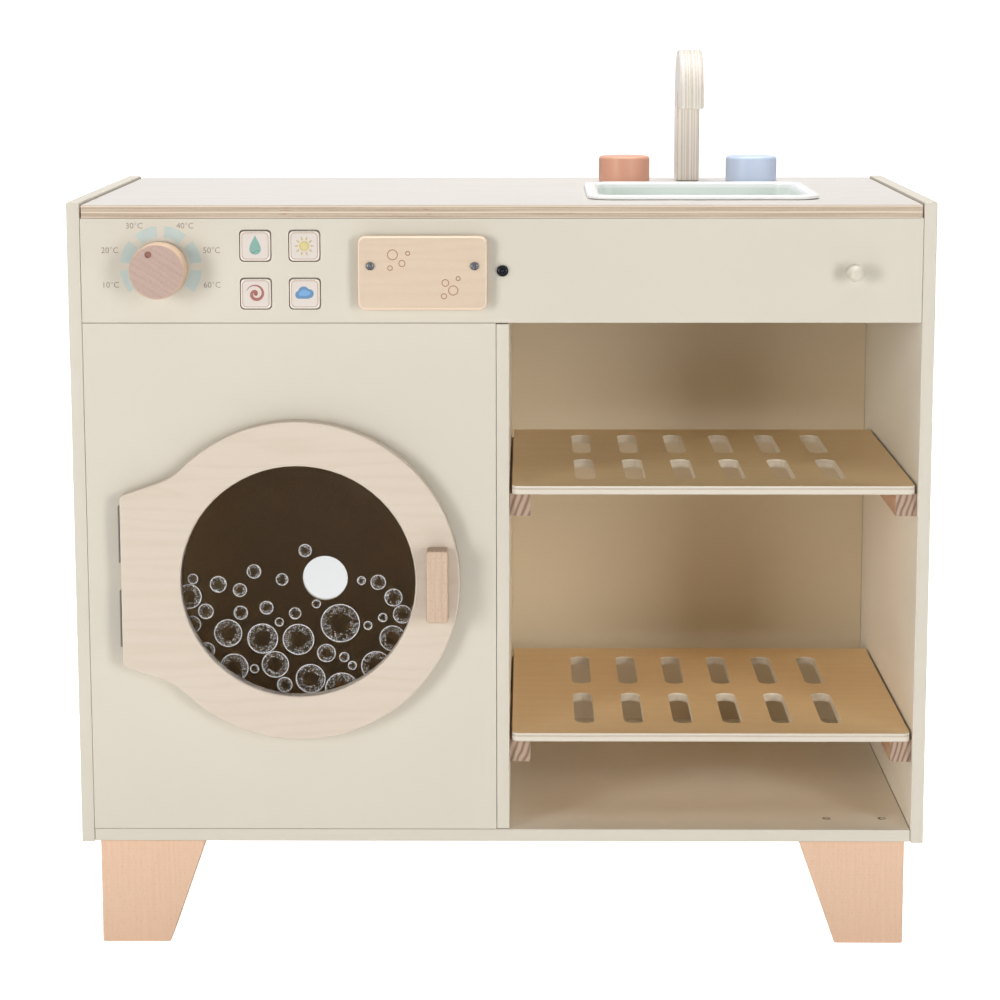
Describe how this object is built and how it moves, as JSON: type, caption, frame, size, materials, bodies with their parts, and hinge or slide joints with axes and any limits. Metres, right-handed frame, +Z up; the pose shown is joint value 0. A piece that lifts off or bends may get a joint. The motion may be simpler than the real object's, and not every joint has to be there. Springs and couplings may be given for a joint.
{
  "type": "toy washing machine",
  "caption": "Wooden play laundry cabinet: front door with round window, dial, push buttons, soap drawer, slotted shelves, sink, turning spout and tap knobs.",
  "frame": {"origin": "on the floor, in the middle of the closed toy's bounding box", "axes": "+Z up, -Y out of the front, +X to the right as seen from the front"},
  "size_m": [0.6, 0.3308, 0.6341],
  "materials": {
    "cream_paint": "satin cream paint on board",
    "birch_ply": "clear satin lacquer on birch plywood",
    "shelf_ply": "clear satin lacquer on plywood",
    "beech": "fine sanded, matt oil",
    "pale_pine": "fine sanded, satin lacquer",
    "stained_beech": "pink stain, matt",
    "terracotta_paint": "satin terracotta paint",
    "blue_paint": "satin pale blue paint",
    "clear_sheet": "clear polished sheet",
    "sink_enamel": "glossy white moulding",
    "steel": "zinc plated",
    "black_steel": "black phosphate",
    "grey_moulding": "plain moulded"
  },
  "bodies": {
    "cabinet": {"left_side_board": "cream_paint", "right_side_board": "cream_paint", "floor_board": "cream_paint", "divider_board": "cream_paint", "back_board": "cream_paint", "worktop": "birch_ply", "front_board": "cream_paint", "control_board": "cream_paint", "control_screw": "black_steel", "cloth_peg": "cream_paint", "front_left_leg": "beech", "front_right_leg": "beech", "back_left_leg": "beech", "back_right_leg": "beech", "upper_shelf": "shelf_ply", "lower_shelf": "shelf_ply", "upper_left_batten": "beech", "upper_right_batten": "beech", "lower_left_batten": "beech", "lower_right_batten": "beech", "upper_hinge_board_leaf": "steel", "lower_hinge_board_leaf": "steel", "upper_hinge_pin": "steel", "lower_hinge_pin": "steel", "board_magnet": "steel", "dial_washer": "grey_moulding", "upper_left_spring": "steel", "upper_right_spring": "steel", "lower_left_spring": "steel", "lower_right_spring": "steel", "button_housing": "grey_moulding", "soap_runner": "pale_pine", "sink_basin": "sink_enamel"},
    "door": {"door_ring": "pale_pine", "door_window": "clear_sheet", "door_handle": "beech", "upper_handle_screw": "steel", "lower_handle_screw": "steel", "door_magnet": "steel", "upper_hinge_door_leaf": "steel", "lower_hinge_door_leaf": "steel"},
    "dial": {"dial_knob": "stained_beech", "dial_bolt": "steel"},
    "upper_left_push_button": {"upper_left_button": "pale_pine"},
    "upper_right_push_button": {"upper_right_button": "pale_pine"},
    "lower_left_push_button": {"lower_left_button": "pale_pine"},
    "lower_right_push_button": {"lower_right_button": "pale_pine"},
    "soap_drawer": {"soap_plate": "beech", "soap_tray": "pale_pine", "left_soap_screw": "steel", "right_soap_screw": "steel"},
    "warm_tap": {"warm_tap_knob": "terracotta_paint", "warm_tap_bolt": "steel"},
    "cold_tap": {"cold_tap_knob": "blue_paint", "cold_tap_bolt": "steel"},
    "swivel_spout": {"spout": "birch_ply", "spout_bolt": "steel"}
  },
  "joints": [
    {"name": "door_swing", "type": "hinge", "parent": "cabinet", "child": "door", "pos_m": [-0.26515, -0.1369, 0.27285], "axis": [0, 0, -1], "range_deg": [0, 90]},
    {"name": "dial_turn", "type": "hinge", "parent": "cabinet", "child": "dial", "pos_m": [-0.23518, -0.1346, 0.488], "axis": [0, -1, 0], "continuous": true},
    {"name": "upper_left_button_push", "type": "slide", "parent": "cabinet", "child": "upper_left_push_button", "axis": [0, 1, 0], "range_m": [0, 0.003], "stiffness_N_per_m": 250, "springref_m": -0.002, "deforming": ["upper_left_spring"]},
    {"name": "upper_right_button_push", "type": "slide", "parent": "cabinet", "child": "upper_right_push_button", "axis": [0, 1, 0], "range_m": [0, 0.003], "stiffness_N_per_m": 250, "springref_m": -0.002, "deforming": ["upper_right_spring"]},
    {"name": "lower_left_button_push", "type": "slide", "parent": "cabinet", "child": "lower_left_push_button", "axis": [0, 1, 0], "range_m": [0, 0.003], "stiffness_N_per_m": 250, "springref_m": -0.002, "deforming": ["lower_left_spring"]},
    {"name": "lower_right_button_push", "type": "slide", "parent": "cabinet", "child": "lower_right_push_button", "axis": [0, 1, 0], "range_m": [0, 0.003], "stiffness_N_per_m": 250, "springref_m": -0.002, "deforming": ["lower_right_spring"]},
    {"name": "soap_drawer_pull", "type": "slide", "parent": "cabinet", "child": "soap_drawer", "axis": [0, -1, 0], "range_m": [0, 0.05]},
    {"name": "warm_tap_turn", "type": "hinge", "parent": "cabinet", "child": "warm_tap", "pos_m": [0.0937, 0.1154, 0.5318], "axis": [0, 0, 1], "continuous": true},
    {"name": "cold_tap_turn", "type": "hinge", "parent": "cabinet", "child": "cold_tap", "pos_m": [0.1927, 0.1154, 0.5318], "axis": [0, 0, 1], "continuous": true},
    {"name": "spout_swivel", "type": "hinge", "parent": "cabinet", "child": "swivel_spout", "pos_m": [0.1432, 0.1304, 0.5318], "axis": [0, 0, 1], "range_deg": [-60, 60]}
  ]
}
